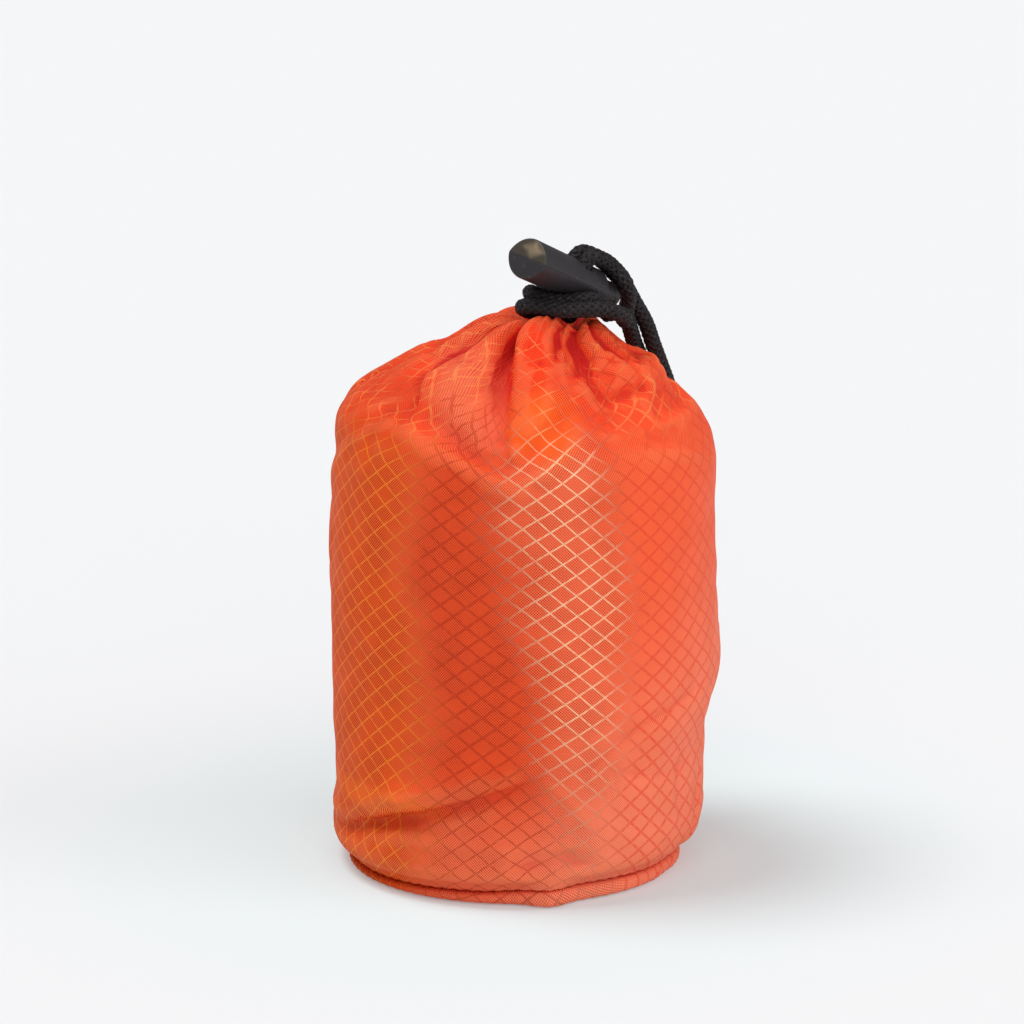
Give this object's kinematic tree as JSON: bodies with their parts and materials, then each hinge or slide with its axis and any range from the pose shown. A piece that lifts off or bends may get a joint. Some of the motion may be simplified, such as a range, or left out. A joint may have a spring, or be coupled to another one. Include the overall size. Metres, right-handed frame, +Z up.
{
  "type": "drawstring stuff sack packed with a folded emergency sleeping bag",
  "caption": "Filled drawstring sack of orange ripstop nylon, standing upright, its mouth gathered shut by a doubled black cord with a sprung cord lock",
  "frame": {"origin": "the floor, under the middle of the sack", "axes": "+Z up through the gathered mouth, +X to the right and -Y towards the front, as the picture sees it"},
  "size_m": [0.0711, 0.072, 0.1174],
  "materials": {
    "ripstop": "thin ripstop nylon with a faint sheen",
    "braid": "matte braided cord",
    "lock_plastic": "satin moulded plastic"
  },
  "bodies": {
    "sack": {"sack_wall": "ripstop", "sack_base": "ripstop", "drawcord_a": "braid", "drawcord_b": "braid", "cord_knot": "braid", "lock_barrel": "lock_plastic"},
    "plunger": {"lock_plunger": "lock_plastic"}
  },
  "joints": [
    {"name": "lock_press", "type": "slide", "parent": "sack", "child": "plunger", "axis": [-0.6509, -0.6109, 0.4507], "range_m": [0, 0.0024], "stiffness_N_per_m": 300, "springref_m": -0.004}
  ]
}
